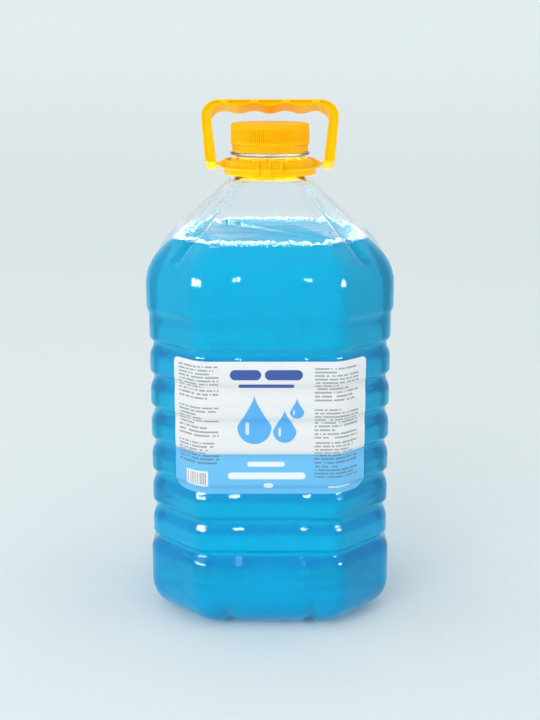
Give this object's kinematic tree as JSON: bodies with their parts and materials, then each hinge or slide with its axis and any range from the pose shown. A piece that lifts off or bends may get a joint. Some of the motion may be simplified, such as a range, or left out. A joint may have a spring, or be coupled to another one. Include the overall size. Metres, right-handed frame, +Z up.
{
  "type": "laundry detergent bottle",
  "caption": "Clear square ribbed bottle of blue laundry gel with a screw cap, tamper band, neck collar and folding carry handle.",
  "frame": {"origin": "centre of the base, on the surface that the bottle stands on", "axes": "+Z up the bottle's axis, -Y out of the labelled front, +X to the right seen from the front"},
  "size_m": [0.1548, 0.1548, 0.3293],
  "materials": {
    "clear_pet": "clear, glossy, slightly wavy blown wall",
    "blue_gel": "clear blue liquid with pale foam at its surface",
    "label_film": "white printed label with a pale blue lower band",
    "cap_plastic": "satin yellow-orange moulding",
    "handle_plastic": "semi-gloss bright yellow moulding",
    "liner_foam": "white foamed sealing disc"
  },
  "bodies": {
    "bottle_body": {"bottle": "clear_pet", "detergent": "blue_gel", "label": "label_film", "tamper_band": "cap_plastic"},
    "collar_body": {"handle_collar": "handle_plastic"},
    "bail_body": {"handle_bail": "handle_plastic"},
    "liner_body": {"cap_liner": "liner_foam"},
    "cap_body": {"screw_cap": "cap_plastic"}
  },
  "joints": [
    {"name": "collar_swivel", "type": "hinge", "parent": "bottle_body", "child": "collar_body", "pos_m": [0, 0, 0.289], "axis": [0, 0, 1], "continuous": true},
    {"name": "bail_tilt", "type": "hinge", "parent": "collar_body", "child": "bail_body", "pos_m": [0, 0, 0.289], "axis": [1, 0, 0], "range_deg": [-75, 125]},
    {"name": "cap_lift", "type": "slide", "parent": "bottle_body", "child": "liner_body", "axis": [0, 0, 1], "range_m": [0, 0.0036]},
    {"name": "cap_turn", "type": "hinge", "parent": "liner_body", "child": "cap_body", "pos_m": [0, 0, 0.3017], "axis": [0, 0, 1], "range_deg": [0, 140]}
  ],
  "couplings": [
    {"joint": "cap_lift", "follows": "cap_turn", "m_per_rad": 0.0014324}
  ]
}
